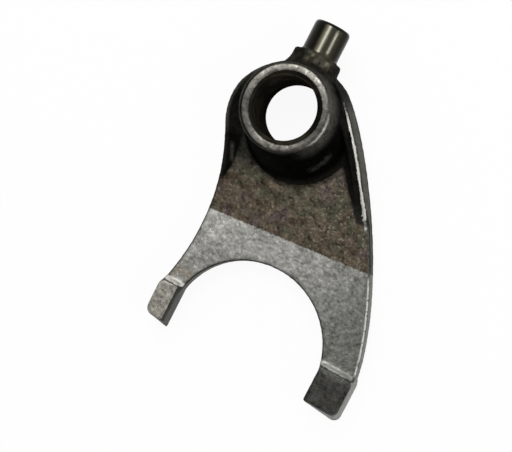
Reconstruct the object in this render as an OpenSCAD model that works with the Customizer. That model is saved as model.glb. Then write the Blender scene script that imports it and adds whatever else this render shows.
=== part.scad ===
// Transmission shift fork: one casting with a shaft boss, a U-shaped jaw between two ground pads,
// edge ribs and a turned guide pin. Units are millimetres.
// The bore axis is Z, the guide pin points along +Y, and the part rests on z = 0.

/* [Shaft boss] */
// Bore for the fork shaft
bore_d = 12; // [10:0.5:14]
// Outside diameter of the boss
boss_d = 16.8; // [15.6:0.2:19]
// Length of the boss along the bore
boss_len = 14; // [12:0.5:18]
// Chamfer at the front mouth of the bore
front_chamfer = 0.7; // [0.3:0.1:0.9]
// Chamfer at the back mouth of the bore
back_chamfer = 0.4; // [0.2:0.1:0.6]
// Broken outer edge of the boss ends
boss_edge = 0.55; // [0.2:0.05:0.6]

/* [Head] */
// Radius of the cast head that carries the boss
head_r = 12; // [11.4:0.1:14]
// Distance from the bore axis down to the head centre
head_drop = 2; // [1:0.1:3]
// Height of the cast blend between head and boss
blend_h = 7.4; // [5:0.2:8]
// Sideways shift of the foot of the blend, towards the right edge
blend_side = 3; // [1:0.1:3.2]

/* [Web] */
// Thickness of the web
web_t = 3.8; // [3:0.1:4.2]
// Gap between the table and the back of the web
web_lift = 1; // [0.6:0.1:1.2]
// Casting draft of the side walls in degrees
draft = 7; // [3:0.5:9]
// Rounding of the long edges of the web
edge_round = 0.45; // [0.2:0.05:0.6]
// Radius of the hollow left edge
waist_r = 44; // [40:1:60]
// Direction on the head where the right edge leaves it, in degrees
leave_angle = 59; // [50:1:66]

/* [Jaw] */
// Width of the jaw between the pads
jaw_d = 30.8; // [28:0.2:33]
// Sideways offset of the jaw centre from the pin axis
jaw_side = 11.2; // [8:0.2:13]
// Distance of the jaw centre below the bore axis
jaw_drop = 42.7; // [40:0.1:50]
// Broken edge of the jaw
jaw_edge = 0.3; // [0.1:0.05:0.5]

/* [Pads] */
// Thickness of the ground pads
pad_t = 6; // [5.6:0.1:7]
// Length of a pad face along the prong
pad_len = 7.4; // [6:0.2:9]
// Reach of a pad face above the jaw centre line
pad_up = 3.8; // [3:0.1:5]
// Width of the left pad face
left_pad_w = 4.1; // [3.6:0.1:5]
// Width of the right pad face
right_pad_w = 6.7; // [5.5:0.1:8]
// Outward slope of the outer pad walls, front to back
pad_flare = 0.75; // [0.3:0.05:1]
// Outward slope of the prong tips, front to back
tip_flare = 1.6; // [0.5:0.1:2.2]
// Change of that slope from the middle of a tip to its sides, towards the right
tip_turn = 0.3; // [0:0.05:0.5]
// Radius of the outer pad corners
pad_corner = 1.5; // [0.8:0.1:1.7]
// Radius of the pad corners at the jaw
jaw_corner = 0.4; // [0.35:0.05:0.8]
// Bevel of the left pad along the jaw
left_bevel = 0.4; // [0:0.05:0.6]
// Extra radius at the back of the left tip's outer corner
left_tip_round = 0.9; // [0:0.1:1.5]

/* [Ribs] */
// Height of the right rib at the boss, above the web
right_rib_h = 4; // [2.5:0.25:5]
// Height of the right rib near its lower end, above the web
right_rib_end_h = 2; // [1:0.25:2.5]
// Part of the right edge that the rib follows
right_rib_len = 0.53; // [0.35:0.01:0.6]
// Height of the left rib at the boss, above the web
left_rib_h = 3.4; // [2:0.2:4.4]
// Part of the left edge that the rib follows
left_rib_len = 0.35; // [0.2:0.01:0.5]
// Width of a rib crest
rib_w = 0.3; // [0.2:0.1:0.8]

/* [Guide pin] */
// Diameter of the guide pin
pin_d = 7; // [6:0.1:8]
// Distance of the pin tip from the bore axis
pin_reach = 17.6; // [16:0.2:20]
// Height of the pin axis above the table
pin_z = 6.8; // [6:0.1:8]
// Rounded edge of the pin tip
pin_edge = 0.6; // [0.3:0.1:1]
// Diameter of the collar under the pin
collar_d = 9.4; // [8.8:0.1:10.6]
// Distance of the collar shoulder from the bore axis
collar_reach = 11.4; // [11.2:0.1:12.4]

/* [Hidden] */
STEEL = [0.42, 0.41, 0.39];

// Depth that one feature reaches into the next one.
sink = 0.36 * web_t;
// Overshoot of a cut past the face it opens.
over = 1;
// A start just above a face, so that no two surfaces only touch.
lip = 0.06;
// Pad faces stand this far inside the jaw wall.
pad_proud = 0.1;
// Edges broken on the pads, the collar and the rib crests.
small_edge = 0.3;
// Steps along the right edge, the head and the left edge.
right_n = 30;
head_n = 24;
left_n = 26;
// Points of the head that the ribs start on, counted from its two ends.
right_lead = 6;
left_lead = 13;

boss_r = boss_d / 2;
web_top = web_lift + web_t;
jaw_r = jaw_d / 2;
jaw_c = [jaw_side, -jaw_drop];
head_c = [0, -head_drop];
left_face_x = jaw_side - jaw_r + pad_proud;
right_face_x = jaw_side + jaw_r - pad_proud;

// The prongs of the web end inside the pads, a little below the jaw centre line.
prong_y = -jaw_drop - 0.16 * pad_up;
left_shoulder = -0.04 * left_pad_w;
right_shoulder = 0.04 * right_pad_w;
left_end = [left_face_x - left_pad_w - left_shoulder, prong_y];
right_end = [right_face_x + right_pad_w + right_shoulder, prong_y];
waist_end = [left_end[0], -jaw_drop + 0.87 * pad_up];
// Handles of the right edge, as parts of the jaw drop and the head radius.
lower_pull = 0.44;
upper_pull = 0.6;
// Point in the web that its two faces fan out from.
fan_c = [0.45 * jaw_side, -0.47 * jaw_drop];

// Foot widths of the ribs: at the boss and at the lower end.
right_feet = [0.4 * head_r, 0.27 * head_r];
left_feet = [0.4 * head_r, 0.24 * head_r];
// The right rib runs out over the last eighth of its length, the left rib rises over its first third.
run_out = 8;
run_in = 3;
// Part of the foot width that the end of a rib loses.
blunt = 0.4;
// Height of a rib where it starts or ends.
rib_floor = 0.3;

function polar(c, r, a) = [c[0] + r * cos(a), c[1] + r * sin(a)];
function mix(a, b, t) = a + (b - a) * t;
function arc(c, r, a0, a1, n) = [for (i = [0:n]) polar(c, r, mix(a0, a1, i / n))];
function bezier(p, n) = [for (i = [0:n]) let (t = i / n, s = 1 - t)
    s * s * s * p[0] + 3 * s * s * t * p[1] + 3 * s * t * t * p[2] + t * t * t * p[3]];
function unit(v) = v / norm(v);
function edge_normal(a, b) = unit([b[1] - a[1], a[0] - b[0]]);
function lift(p, z) = [for (q = p) [q[0], q[1], z]];

// Centre of the circle of radius r, on the left, that touches circle (c, rc) from outside and goes through q.
function touching_centre(c, rc, q, r) =
    let (d = norm(q - c), a = rc + r, x = (a * a - r * r + d * d) / (2 * d), y = sqrt(a * a - x * x),
         u = (q - c) / d) c + x * u + y * [u[1], -u[0]];

// Moves every point of a closed counter-clockwise outline outwards by d.
function grow(p, d) = let (n = len(p)) [for (i = [0:n - 1])
    let (a = edge_normal(p[(i + n - 1) % n], p[i]), b = edge_normal(p[i], p[(i + 1) % n]), m = unit(a + b))
    p[i] + m * d / (m * b)];

// Outward growth of a drafted side wall at height z.
function wall(z) = (web_top - z) * tan(draft);

// Edges of the web at its front face, counter-clockwise: right edge upwards, head, left edge downwards.
leave_p = polar(head_c, head_r, leave_angle);
leave_t = [sin(leave_angle), -cos(leave_angle)];
right_edge = bezier([right_end, right_end + [0, lower_pull * jaw_drop],
    leave_p + upper_pull * head_r * leave_t, leave_p], right_n);
waist_c = touching_centre(head_c, head_r, waist_end, waist_r);
waist_a0 = atan2(head_c[1] - waist_c[1], head_c[0] - waist_c[0]);
waist_a1 = atan2(waist_end[1] - waist_c[1], waist_end[0] - waist_c[0]);
head_edge = arc(head_c, head_r, leave_angle, waist_a0 + 180, head_n);
left_edge = arc(waist_c, waist_r, waist_a0, waist_a1, left_n);
outline = concat(right_edge, [for (i = [1:head_n]) head_edge[i]],
    [for (i = [1:left_n]) left_edge[i]], [left_end]);
right_run = concat([for (i = [right_lead:-1:1]) head_edge[i]], [for (i = [right_n:-1:0]) right_edge[i]]);
left_run = concat([for (i = [head_n - left_lead:head_n - 1]) head_edge[i]], left_edge);

// Solid through rings of equal length, listed from bottom to top, closed by fans around two centre points.
module skin(rings, low_c, high_c) {
    n = len(rings[0]);
    k = len(rings);
    sides = [for (j = [0:k - 2], i = [0:n - 1])
        let (a = j * n + i, b = j * n + (i + 1) % n) each [[a, b + n, b], [a, a + n, b + n]]];
    low = [for (i = [0:n - 1]) [n * k, i, (i + 1) % n]];
    high = [for (i = [0:n - 1]) [n * k + 1, (k - 1) * n + (i + 1) % n, (k - 1) * n + i]];
    polyhedron(concat([for (r = rings) each r], [low_c, high_c]), concat(sides, low, high));
}

// Heights and insets of a slab whose upper and lower edges are rounded by e.
function slab_levels(z0, z1, e) =
    [[z0, e], [z0 + 0.3 * e, 0.3 * e], [z0 + e, 0], [z1 - e, 0], [z1 - 0.3 * e, 0.3 * e], [z1, e]];

module web() {
    difference() {
        skin([for (l = slab_levels(web_lift, web_top, edge_round))
                lift(grow(outline, wall(l[0]) - l[1]), l[0])],
            [fan_c[0], fan_c[1], web_lift], [fan_c[0], fan_c[1], web_top]);
        translate([jaw_c[0], jaw_c[1], 0]) jaw_cut();
    }
}

module jaw_cut() {
    k = jaw_edge;
    translate([0, 0, web_lift - over]) cylinder(r = jaw_r, h = web_t + 2 * over, $fn = 128);
    translate([0, 0, web_top - k]) cylinder(r1 = jaw_r, r2 = jaw_r + 2 * k, h = 2 * k, $fn = 128);
    translate([0, 0, web_lift - k]) cylinder(r1 = jaw_r + 2 * k, r2 = jaw_r, h = 2 * k, $fn = 128);
}

// Steep cast blend from the head to the boss. Its foot sits lower and further right than the bore.
module blend() {
    steps = 8;
    turns = 96;
    foot_r = 0.87 * head_r;
    foot_c = head_c + [blend_side, 0];
    // The top ends inside the boss.
    top_r = 0.96 * boss_r;
    rise = min(blend_h, boss_len - boss_edge - small_edge - web_top);
    // The wall is slightly hollow: it climbs slowly at the foot.
    hollow = 1.25;
    function ring(r, c, z) = lift(arc(c, r, 0, 360 - 360 / turns, turns - 1), z);
    function wall_ring(t) =
        ring(mix(foot_r, top_r, t), foot_c * (1 - t), web_top + lip + rise * pow(t, hollow));
    // It stays inside the outer walls of the ribs.
    function core_ring(z) = lift(grow(outline, wall(z) - small_edge), z);
    low = web_top - sink;
    high = web_top + lip + rise;
    intersection() {
        skin(concat([ring(foot_r, foot_c, low)], [for (i = [0:steps]) wall_ring(i / steps)]),
            [0, 0, low], [0, 0, high]);
        skin([core_ring(low - lip), core_ring(high + lip)],
            [fan_c[0], fan_c[1], low - lip], [fan_c[0], fan_c[1], high + lip]);
    }
}

module boss() {
    e = boss_edge;
    rotate_extrude($fn = 96) polygon(concat([[0, 0]],
        [for (a = [-90:22.5:0]) [boss_r - e + e * cos(a), e + e * sin(a)]],
        [for (a = [0:22.5:90]) [boss_r - e + e * cos(a), boss_len - e + e * sin(a)]], [[0, boss_len]]));
}

// Rib along an edge: run is the edge at the front face, heights are above the web, feet are the foot widths.
// The outer wall follows the draft, the inner wall is hollow.
module rib(run, heights, feet, side) {
    n = len(run);
    e = small_edge;
    // The inner wall falls in steps, a little faster near the crest.
    steps = 5;
    hollow = 1.2;
    function profile(h, f) = let (s = h * tan(draft) + lip, c = s + e / 2 + min(rib_w, 0.2 * f))
        concat([[3 * lip, -sink], [lip, -edge_round], [s, h - e / 2], [s + e / 2, h], [c, h]],
            [for (i = [1:steps]) let (u = i / steps - 0.02) [mix(c, f, u), h * pow(1 - u, hollow)]],
            [[f, -sink]]);
    function section(i) =
        let (t = unit(run[min(i + 1, n - 1)] - run[max(i - 1, 0)]), q = side * [t[1], -t[0]])
        [for (p = profile(heights[i], feet[i]))
            [run[i][0] + q[0] * p[0], run[i][1] + q[1] * p[0], web_top + p[1]]];
    rows = [for (i = [0:n - 1]) section(i)];
    m = len(rows[0]);
    last = (n - 1) * m;
    // Faces for a rib on the right; the left one has them turned round.
    sides = [for (j = [0:n - 2], i = [0:m - 1]) let (a = j * m + i, b = j * m + (i + 1) % m)
        each [[a, b + m, b], [a, a + m, b + m]]];
    ends = [for (i = [1:m - 2]) each [[0, i, i + 1], [last, last + i + 1, last + i]]];
    polyhedron([for (r = rows) each r],
        [for (f = concat(sides, ends)) side > 0 ? f : [f[0], f[2], f[1]]]);
}

// Foot width at part u of a rib; the last part draws in to a blunt end.
function foot(feet, u) = mix(feet[0], feet[1], u) * (1 - blunt * pow(max(0, (u - 0.8) / 0.2), 2));

module right_rib() {
    n = right_lead + round(right_n * right_rib_len);
    t = [for (i = [0:n - 1]) i / (n - 1)];
    // The crest falls evenly, then runs out into the web.
    rib([for (i = [0:n - 1]) right_run[i]],
        [for (u = t) min(mix(right_rib_h, right_rib_end_h, u),
            rib_floor + run_out * right_rib_end_h * (1 - u))],
        [for (u = t) foot(right_feet, u)], 1);
}

module left_rib() {
    n = left_lead + round(left_n * left_rib_len);
    t = [for (i = [0:n - 1]) i / (n - 1)];
    peak = left_rib_h * (1 + 1 / run_in);
    // The crest rises out of the head beside the collar and falls to the web.
    rib([for (i = [0:n - 1]) left_run[i]],
        [for (u = t) rib_floor + min(run_in * left_rib_h * u, mix(peak, 0, u))],
        [for (u = t) foot(left_feet, u)], -1);
}

// Outline of a pad in its own plane: u runs outwards from the jaw, v up the prong.
// The tip lies at the heights v0[0] at the jaw and v0[1] outside.
// The outer corners have the radii r[0] at the tip and r[1] at the web.
function pad_ring(u0, u1, v0, v1, r, z) = let (q = jaw_corner - small_edge + lip)
    lift(concat(arc([u0 + q, v0[0] + q], q, 180, 270, 4), arc([u1 - r[0], v0[1] + r[0]], r[0], 270, 360, 8),
        arc([u1 - r[1], v1 - r[1]], r[1], 0, 90, 8), arc([u0 + q, v1 - q], q, 90, 180, 4)), z);

module pad(w, bevel, turn, tip_round) {
    up = pad_up;
    down = pad_up - pad_len;
    mid = (up + down) / 2;
    // The wall above the web leans up the prong, and its outer corner opens towards the back.
    lean = 0.28 * pad_t;
    corner_open = 0.25 * w;
    function level(z, inset) = let (t = 1 - z / pad_t, b = bevel * max(0, z - web_top) / (pad_t - web_top))
        pad_ring(b + inset, w + pad_flare * t - inset,
            [down - (tip_flare - turn) * t + inset, down - (tip_flare + turn) * t + inset],
            up + lean * t - inset,
            [pad_corner + tip_round * t - inset, pad_corner + corner_open * t - inset], z);
    edges = slab_levels(0, pad_t, small_edge);
    // A level at the front face of the web, where the bevel starts.
    levels = concat([for (i = [0:2]) edges[i]], [[web_top, 0]], [for (i = [3:5]) edges[i]]);
    skin([for (l = levels) level(l[0], l[1])], [w / 2, mid, 0], [w / 2, mid, pad_t]);
    translate([0.8 * w, up + lean * (1 - web_top / pad_t), web_top])
        rotate([90, 0, -90]) linear_extrude(0.7 * w) step_fillet();
}

// Hollow fillet at the foot of the step from the web up to a pad.
module step_fillet() {
    h = 0.6 * (pad_t - web_top);
    f = 0.7;
    polygon(concat([[f, -f], [f * (sin(15) - 1), -f]],
        [for (a = [15:15:90]) [f * (sin(a) - 1), h * (1 - cos(a))]], [[f, h]]));
}

module left_pad() {
    translate([left_face_x, -jaw_drop, 0]) mirror([1, 0, 0])
        pad(left_pad_w, left_bevel, -tip_turn, left_tip_round);
}

module right_pad() {
    translate([right_face_x, -jaw_drop, 0]) pad(right_pad_w, 0, tip_turn, 0);
}

// Turned guide pin on its cast collar, around the +Y axis.
module guide_pin() {
    r = pin_d / 2;
    c = collar_d / 2;
    e = small_edge;
    // The flare stays above the table and sinks into the boss.
    flare = min(0.36 * c, pin_z - c - e);
    root = 0.87 * boss_r;
    // Length of the hollow flare, up to the straight part of the collar.
    flare_len = 0.91 * collar_reach - root;
    translate([0, 0, pin_z]) rotate([-90, 0, 0]) rotate_extrude($fn = 72) polygon(concat(
        [[0, root - sink], [c + flare, root - sink], [c + flare, root]],
        [for (a = [15:15:75]) [c + flare * (1 - sin(a)), root + flare_len * (1 - cos(a))]],
        [[c, collar_reach - e], [c - e, collar_reach], [r + e, collar_reach], [r, collar_reach + e]],
        [for (a = [0:22.5:90])
            [r + pin_edge * (cos(a) - 1), pin_reach + pin_edge * (sin(a) - 1)]], [[0, pin_reach]]));
}

module shaft_bore() {
    r = bore_d / 2;
    translate([0, 0, -over]) cylinder(r = r, h = boss_len + 2 * over, $fn = 96);
    translate([0, 0, boss_len - front_chamfer])
        cylinder(r1 = r, r2 = r + 2 * front_chamfer, h = 2 * front_chamfer, $fn = 96);
    translate([0, 0, -back_chamfer])
        cylinder(r1 = r + 2 * back_chamfer, r2 = r, h = 2 * back_chamfer, $fn = 96);
}

module shift_fork() {
    color(STEEL) difference() {
        union() {
            web();
            left_pad();
            right_pad();
            blend();
            right_rib();
            left_rib();
            guide_pin();
            boss();
        }
        shaft_bore();
    }
}

shift_fork();
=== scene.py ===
"""Looks of a cast shift fork: dark boss, as-cast web, blasted prongs, ground pads and turned pin."""

import math

import bmesh
import bpy
import numpy as np
from mathutils import Matrix, Vector


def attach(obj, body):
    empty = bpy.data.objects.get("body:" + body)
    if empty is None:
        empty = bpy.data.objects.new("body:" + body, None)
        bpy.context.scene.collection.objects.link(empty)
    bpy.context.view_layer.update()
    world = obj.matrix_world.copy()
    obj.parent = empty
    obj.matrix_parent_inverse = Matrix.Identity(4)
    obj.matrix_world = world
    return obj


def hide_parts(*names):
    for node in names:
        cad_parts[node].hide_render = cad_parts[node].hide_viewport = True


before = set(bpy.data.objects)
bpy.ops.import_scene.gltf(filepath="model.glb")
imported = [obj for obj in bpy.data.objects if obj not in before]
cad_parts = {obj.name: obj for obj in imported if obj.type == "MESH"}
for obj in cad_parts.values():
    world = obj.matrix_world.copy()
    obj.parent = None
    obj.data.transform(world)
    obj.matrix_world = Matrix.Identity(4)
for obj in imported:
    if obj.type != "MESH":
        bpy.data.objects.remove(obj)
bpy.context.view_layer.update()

MM = 0.001

# Sizes of the casting in millimetres, as the frame has them.
BOSS_R, BOSS_LEN, BORE_R, BORE_RIM = 8.4, 14.0, 6.0, 6.7
HALF_BOSS = BOSS_LEN / 2
WEB_TOP, PAD_TOP = 4.8, 6.0
HALF_PAD = PAD_TOP / 2
PAD_EDGE_Y, PAD_MID_X = -38.9, 11.2
COLLAR_Y, PIN_TIP_Y, PIN_Z, PIN_R = 11.4, 17.6, 6.8, 3.5

# The blasted finish of the prongs starts at a straight line across the web: a point on it and its slope.
FINISH_POINT, FINISH_SLOPE = (-5.8, -23.0), 0.0895
# The ring, bright with painted highlight, lies a little off the bore's axis: centres and radii of its outer
# and its inner edge.
RING_CENTRE, RING_R = (0.26, -0.03), 7.88
MOUTH_CENTRE, MOUTH_R = (0.36, 0.0), 6.8
# Its middle line, measured from the bore's axis.
RING_MIDDLE = 7.35
# A faint streak of painted reflection runs round the blend at the lower right: centre, radius and half
# width.
STREAK_CENTRE, STREAK_R, STREAK_HALF = (0.0, -1.0), 10.9, 0.3
# The left rib: its low end, where the web gets painted shade, and a painted highlight line along it, at
# x + LEFT_LINE_SLANT * y.
LEFT_RIB_TIP = (-6.3, -16.4)
LEFT_LINE_SLANT, LEFT_LINE, LEFT_LINE_SPAN = 0.436, (-12.45, -11.7), (-13.0, -9.8)
# The painted shadow at the foot of the right rib: how far in from the edge, its taper from a place on, and
# its blunt end, at y - RIB_SLANT * x.
RIB_SHADOW_IN, RIB_SHADOW_OUT, RIB_TAPER, RIB_TAPER_Y = 3.1, 0.8, 0.1, -5.0
RIB_END, RIB_SLANT = -23.5, 0.516
# The painted highlight lines along the right: their spans in y on the crest, at the rib's end and on the
# edge.
CREST_SPAN, RIB_END_SPAN, EDGE_SPAN = (-12.6, 6.0), (-13.5, -11.9), (-38.0, -12.4)
CREST_TILT = 0.25
# The two painted highlight lines along the pin, over the strip lamps' own highlights: place across it, and
# ends.
PIN_HIGHLIGHTS = ((0.2, 11.6, 17.2), (1.8, 12.3, 16.5))
PIN_HIGHLIGHT_HALF = 0.2
# Where the collar starts, its olive patch of painted light in x, and its painted glints: place and radius.
COLLAR_START, COLLAR_PATCH = (7.9, 8.6), (-1.25, 3.4)
COLLAR_SPOTS = ((0.0, 10.75, 0.45), (2.9, 10.4, 0.6))
# Size of the raggedness along the edges of the finishes.
RAGGED_SIZE = 0.6

# Directions from the bore's axis, in degrees from +X, that the painted light and shade on the boss go by.
SHEEN_TO, LOW_SHEEN_TO, STREAK_TO = 20.0, -84.0, -32.0
RING_BRIGHT_TO, RING_SECOND_TO, RING_LEAN_TO = 106.0, 287.0, 92.0
RIM_GREY_TO, RIM_GAP_TO, RIM_LINE_TO = 0.0, 205.0, -7.0
MOUTH_DARK_TO = 60.0

# Colours of the finishes, some of them painted light and shade.
WEB_OLIVE, WEB_BROWN = (0.067, 0.063, 0.0445, 1), (0.082, 0.065, 0.047, 1)
# The web's grey is the colour its painted shade takes in the upper left corner.
WEB_PURPLE, WEB_SHADE_GREY = (0.079, 0.062, 0.055, 1), (0.064, 0.066, 0.053, 1)
WEB_CHIP = (0.24, 0.213, 0.178, 1)
# The light and the dark prong colours are one blasted finish with painted light and shade between them.
PRONG_LIGHT, PRONG_DARK = (0.280, 0.276, 0.258, 1), (0.154, 0.156, 0.141, 1)
PRONG_BROWN = (0.24, 0.215, 0.17, 1)
EDGE_DARK, EDGE_GREY = (0.035, 0.034, 0.029, 1), (0.15, 0.148, 0.135, 1)
OUTSIDE_LOW, OUTSIDE_HIGH = (0.090, 0.088, 0.076, 1), (0.058, 0.057, 0.048, 1)
CREST_SHADE = (0.018, 0.0175, 0.0145, 1)
PAD_SIDE = (0.22, 0.22, 0.205, 1)
# The pads have one ground finish: the left pad's light and the right pad's dark are painted light and shade.
PAD_LEFT, PAD_RIGHT = (0.315, 0.300, 0.262), (0.064, 0.063, 0.057)
# Painted highlight on the fillet at each pad's step, and the painted shadow line beside it.
FILLET_HIGHLIGHT_LEFT, FILLET_HIGHLIGHT_RIGHT = (0.68, 0.67, 0.62, 1), (0.54, 0.54, 0.505, 1)
STEP_SHADOW = (0.03, 0.03, 0.026, 1)
COLLAR_DARK, COLLAR_OLIVE = (0.013, 0.0125, 0.0095, 1), (0.060, 0.057, 0.042, 1)
# Painted highlight of the pin's two bright lines, and the pin's dark tip.
PIN_HIGHLIGHT, PIN_TIP = (0.22, 0.208, 0.172, 1), (0.012, 0.0115, 0.009, 1)
# Painted highlight of the bright line on the boss's rim at the right.
RIM_HIGHLIGHT = (0.46, 0.452, 0.41, 1)
# The bore's near black is painted shade; its brown is a cast in places.
BORE_SHADE, BORE_BROWN = (0.014, 0.0135, 0.011, 1), (0.034, 0.029, 0.020, 1)
# Colours of the painted highlight lines on the right rib and edge.
HIGHLIGHT_BRIGHT, HIGHLIGHT_GREY = (0.62, 0.61, 0.57, 1), (0.16, 0.157, 0.143, 1)
# Tints of the finishes whose lightness, painted light and shade, is worked out from the place.
WALL_TINT, PIN_TINT = (1.0, 0.97, 0.82), (1.0, 0.94, 0.68)
RING_TINT, RIM_TINT = (1.0, 0.965, 0.85), (1.0, 0.98, 0.86)

# Lightness of the head's walls, painted: black painted shade in the hollows, painted sheen on what stands
# proud, and painted sheen and highlights where they are lighter.
HOLLOW_LEVEL, PROUD_LEVEL = 0.0014, 0.036
SHEEN_LEVEL, LOW_SHEEN_LEVEL, FOOT_LEVEL, STREAK_LEVEL = 0.072, 0.022, 0.008, 0.022
LEFT_LEVEL, LEFT_TOP_LEVEL, LEFT_LINE_LEVEL = 0.013, 0.036, 0.034
RIB_LEVEL, RIB_LOW_LEVEL = 0.012, 0.022
# Lightness of the boss's ring, its rim and the pin: painted highlights and painted shade.
RING_DARK, RING_BRIGHT, RING_SECOND = 0.08, 0.265, 0.1
RIM_DARK, RIM_GREY, RIM_EDGE = 0.03, 0.075, 0.045
PIN_DARK, PIN_FRONT = 0.016, 0.06
# Shading of the web in its upper left corner, at the left, beside the walls and at the left rib's tip.
CORNER_SHADE, LEFT_SHADE, WALL_SHADE, TIP_SHADE = 0.72, 0.25, 0.8, 0.5
# Shading of the left rib's low end, what stands proud there, the right pad's jaw side, the rim's gap and the
# bore's mouth.
LOW_RIB_SHADE, LOW_PROUD_SHADE, JAW_SHADE, GAP_SHADE, MOUTH_SHADE = 0.6, 0.7, 0.4, 0.75, 0.7
# How much lighter the prongs' left, the right pad's top, the collar's painted glints and the bore's top are.
PRONG_LIGHTER, PAD_TOP_LIGHTER, SPOT_GAIN, BORE_TOP_GAIN = 0.32, 0.7, 2.4, 1.8
# Share of chips on the web, core of a painted glint on the collar, end of the fading painted highlight on
# the fillet, and how the ring's painted highlight leans.
CHIP_SHARE, SPOT_CORE, FILLET_FADE, RING_LEAN = 0.6, 0.3, 0.45, 0.7
# The prongs get darker by painted shade along x - PRONG_SLANT * y.
PRONG_SLANT = 0.35
# Sizes in millimetres of the patches on web, prongs and bore, of the chips and of the pin's turning marks.
WEB_PATCH, PURPLE_PATCH, PRONG_PATCH, BORE_PATCH, CHIP_SIZE, MARK_SIZE = 2.4, 3.3, 1.6, 3.0, 0.5, 0.5
# Purple patches use the noise mirrored; turning marks are narrow along the pin, with a base and a swing.
MIRRORED, TURNED, MARK_BASE, MARK_SWING = (1.0, 1.0, -1.0), (0.5, 4.0, 0.5), 0.6, 0.8

# Grains of the finishes: fine and coarse size in millimetres, contrast, light specks and dark pits.
WEB_GRAIN = (0.6, 1.7, 4.5, 0.95, 0.15)
PRONG_GRAIN = (0.6, 1.4, 2.9, 0.4, 0.22)
WALL_GRAIN = (0.6, 1.6, 2.4, 0.3, 0.4)
SIDE_GRAIN = (0.6, 1.6, 2.0, 0.3, 0.3)
LEFT_PAD_GRAIN = (0.6, 1.0, 3.2, 0.5, 0.3)
RIGHT_PAD_GRAIN = (0.7, 1.8, 3.2, 0.3, 0.3)
COLLAR_GRAIN = (1.0, 2.0, 4.2, 0.3, 0.3)
RING_GRAIN = (0.6, 1.3, 3.4, 0.8, 0.2)
RIM_GRAIN = (0.6, 1.5, 2.4, 0.3, 0.3)
# The second noise of a grain lies this far aside, and a tone gets no darker than its floor.
GRAIN_ASIDE, TONE_FLOOR = (31.0, 17.0, 5.0), 0.08
# Share of the fine noise in a grain, the noise that makes specks and pits, and how deep the pits are.
FINE_SHARE, SPECK_RANGE, PIT_RANGE, PIT_DEPTH = 0.4, (0.58, 0.72), (0.42, 0.28), 0.5

# Roughness of the steel, how much less the pin has and how much it varies; share of the dark walls, near
# black with painted shade, that is not metal.
ROUGHNESS, PIN_LESS, ROUGH_SWING = 0.52, 0.22, 0.08
DULL_SHARE, RING_SMOOTH = 0.85, 0.6
BUMP_STRENGTH, BUMP_DEPTH = 0.7, 0.16 * MM

# Camera, at the photograph's place.
CAMERA_PLACE = (42.827, -7.729, 192.162)
CAMERA_AIM = (3.58, -21.903, 5.0)
CAMERA_UP = (-0.4586, 0.8882, 0.0289)
LENS, SENSOR = 71.5, 36.0
CLIP_START, CLIP_END = 0.005, 20.0


def add_camera():
    data = bpy.data.cameras.new("camera")
    data.sensor_width, data.lens = SENSOR, LENS
    data.clip_start, data.clip_end = CLIP_START, CLIP_END
    camera = bpy.data.objects.new("camera", data)
    place = Vector(CAMERA_PLACE) * MM
    back = (place - Vector(CAMERA_AIM) * MM).normalized()
    side = Vector(CAMERA_UP).cross(back).normalized()
    up = back.cross(side)
    turn = Matrix((side, up, back)).transposed()
    camera.matrix_world = Matrix.Translation(place) @ turn.to_4x4()
    bpy.context.scene.collection.objects.link(camera)
    bpy.context.scene.camera = camera


# Node helpers.
def put(tree, kind, values=None, **props):
    """Adds a node, sets its properties, and fills its inputs with values or links."""
    node = tree.nodes.new(kind)
    for key, value in props.items():
        setattr(node, key, value)
    for key, value in (values or {}).items():
        if isinstance(value, bpy.types.NodeSocket):
            tree.links.new(value, node.inputs[key])
        else:
            node.inputs[key].default_value = value
    return node


def calc(tree, operation, a, b=0.0):
    return put(tree, "ShaderNodeMath", {0: a, 1: b}, operation=operation).outputs[0]


def ramp(tree, value, low, high, to_low=0.0, to_high=1.0):
    """Smooth step of value from low to high."""
    values = {"Value": value, "From Min": low, "From Max": high, "To Min": to_low, "To Max": to_high}
    return put(tree, "ShaderNodeMapRange", values, interpolation_type="SMOOTHSTEP").outputs[0]


def mixed(tree, share, a, b):
    return put(tree, "ShaderNodeMix", {0: share, 6: a, 7: b}, data_type="RGBA").outputs[2]


def scaled(tree, vector, share):
    """A vector or a colour times a number."""
    return put(tree, "ShaderNodeVectorMath", {0: vector, 3: share}, operation="SCALE").outputs[0]


def noise(tree, place, size, detail=2.0, stretch=None):
    """Noise with features of about size millimetres."""
    if stretch:
        place = put(tree, "ShaderNodeVectorMath", {0: place, 1: stretch}, operation="MULTIPLY").outputs[0]
    values = {"Vector": place, "Scale": 1.0 / size, "Detail": detail}
    return put(tree, "ShaderNodeTexNoise", values).outputs["Fac"]


def attribute(tree, name):
    return put(tree, "ShaderNodeAttribute", attribute_name=name).outputs["Fac"]


def both(tree, *masks):
    """Product of masks."""
    total = masks[0]
    for mask in masks[1:]:
        total = calc(tree, "MULTIPLY", total, mask)
    return total


def either(tree, *masks):
    """Largest of masks."""
    total = masks[0]
    for mask in masks[1:]:
        total = calc(tree, "MAXIMUM", total, mask)
    return total


def without(tree, mask):
    return calc(tree, "SUBTRACT", 1.0, mask)


def band(tree, value, low, high, soft):
    """One between low and high, zero outside."""
    rise = ramp(tree, value, low - soft, low + soft)
    fall = ramp(tree, value, high + soft, high - soft)
    return both(tree, rise, fall)


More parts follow.
